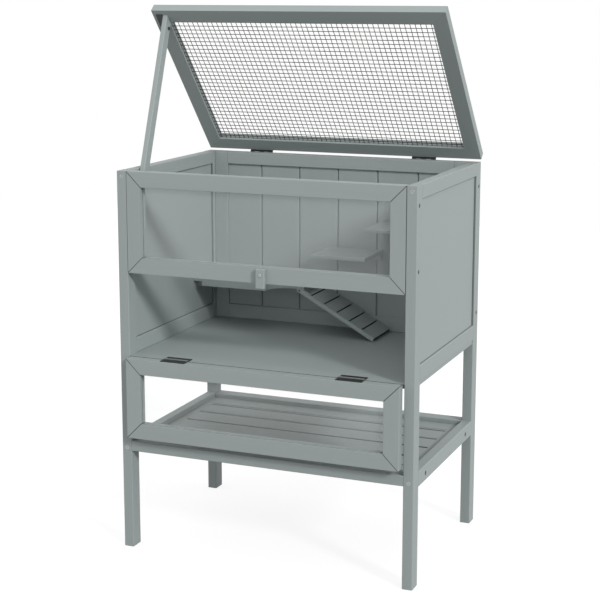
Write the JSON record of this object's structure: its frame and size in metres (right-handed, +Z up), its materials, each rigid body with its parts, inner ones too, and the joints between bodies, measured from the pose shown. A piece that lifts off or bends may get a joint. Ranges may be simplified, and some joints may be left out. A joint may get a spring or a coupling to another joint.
{
  "type": "hamster cage",
  "caption": "Wooden small-animal cage on legs with a propped wire-mesh lid, fixed front window, drop-down front door, inner platform, ramp and steps, and a slatted storage shelf below.",
  "frame": {"origin": "on the floor, midway between the four posts", "axes": "+X to the right seen from the front, +Y to the back, +Z up"},
  "size_m": [0.6008, 0.4462, 1.0596],
  "materials": {
    "frame_wood": "grey-tinted softwood, matt",
    "board_wood": "grey-tinted boards, matt",
    "clear_sheet": "clear acrylic sheet, polished",
    "wire": "galvanised wire, satin",
    "black_hardware": "black, satin",
    "bolt_steel": "zinc plated, satin"
  },
  "bodies": {
    "cabinet": {"back_boards": "board_wood", "back_bottom_rail": "frame_wood", "back_stile_left": "frame_wood", "back_stile_right": "frame_wood", "back_top_rail": "frame_wood", "button_screw": "bolt_steel", "cabinet_hinge_leaves": "black_hardware", "floor_board": "board_wood", "floor_screws": "bolt_steel", "frame_bolts": "bolt_steel", "hinge_pins": "black_hardware", "platform_back_batten": "frame_wood", "platform_board": "board_wood", "platform_side_batten": "frame_wood", "post_front_left": "frame_wood", "post_front_right": "frame_wood", "post_rear_left": "frame_wood", "post_rear_right": "frame_wood", "rail_dowels": "frame_wood", "ramp_hinge_block": "frame_wood", "ramp_hinge_rod": "bolt_steel", "shelf_end_battens": "frame_wood", "shelf_rail_front": "frame_wood", "shelf_rail_left": "frame_wood", "shelf_rail_rear": "frame_wood", "shelf_rail_right": "frame_wood", "shelf_slats": "board_wood", "step_battens": "frame_wood", "step_lower": "board_wood", "step_screws": "bolt_steel", "step_upper": "board_wood", "wall_bottom_rail_left": "frame_wood", "wall_bottom_rail_right": "frame_wood", "wall_panel_left": "board_wood", "wall_panel_right": "board_wood", "wall_screws": "bolt_steel", "wall_top_rail_left": "frame_wood", "wall_top_rail_right": "frame_wood", "window_bottom_rail": "frame_wood", "window_pane": "clear_sheet", "window_stile_left": "frame_wood", "window_stile_right": "frame_wood", "window_top_rail": "frame_wood"},
    "lid": {"lid_front_rail": "frame_wood", "lid_hinge_leaves": "black_hardware", "lid_mesh": "wire", "lid_rail_left": "frame_wood", "lid_rail_right": "frame_wood", "lid_rear_rail": "frame_wood", "stay_bracket": "black_hardware", "stay_pin": "bolt_steel"},
    "stay": {"lid_stay": "frame_wood"},
    "door": {"door_free_rail": "frame_wood", "door_hinge_leaves": "black_hardware", "door_hinge_rail": "frame_wood", "door_pane": "clear_sheet", "door_stile_left": "frame_wood", "door_stile_right": "frame_wood"},
    "turn_button": {"turn_button": "frame_wood"},
    "ramp": {"ramp": "board_wood"}
  },
  "joints": [
    {"name": "lid_hinge", "type": "hinge", "parent": "cabinet", "child": "lid", "pos_m": [0, 0.2067, 0.7517], "axis": [1, 0, 0], "range_deg": [0, 48.3]},
    {"name": "stay_pivot", "type": "hinge", "parent": "lid", "child": "stay", "pos_m": [-0.273, -0.0431, 1.01358], "axis": [1, 0, 0], "range_deg": [0, 62.5]},
    {"name": "door_hinge", "type": "hinge", "parent": "cabinet", "child": "door", "pos_m": [0, -0.2056, 0.3917], "axis": [-1, 0, 0], "range_deg": [0, 180]},
    {"name": "button_pivot", "type": "hinge", "parent": "cabinet", "child": "turn_button", "pos_m": [0, -0.209, 0.571], "axis": [0, -1, 0], "range_deg": [0, 90]},
    {"name": "ramp_hinge", "type": "hinge", "parent": "cabinet", "child": "ramp", "pos_m": [-0.043, 0.133, 0.483], "axis": [0, -1, 0], "range_deg": [0, 40]}
  ],
  "couplings": [
    {"joint": "stay_pivot", "follows": "lid_hinge", "ratio": 1.28},
    {"joint": "button_pivot", "follows": "door_hinge", "ratio": 0.5}
  ]
}
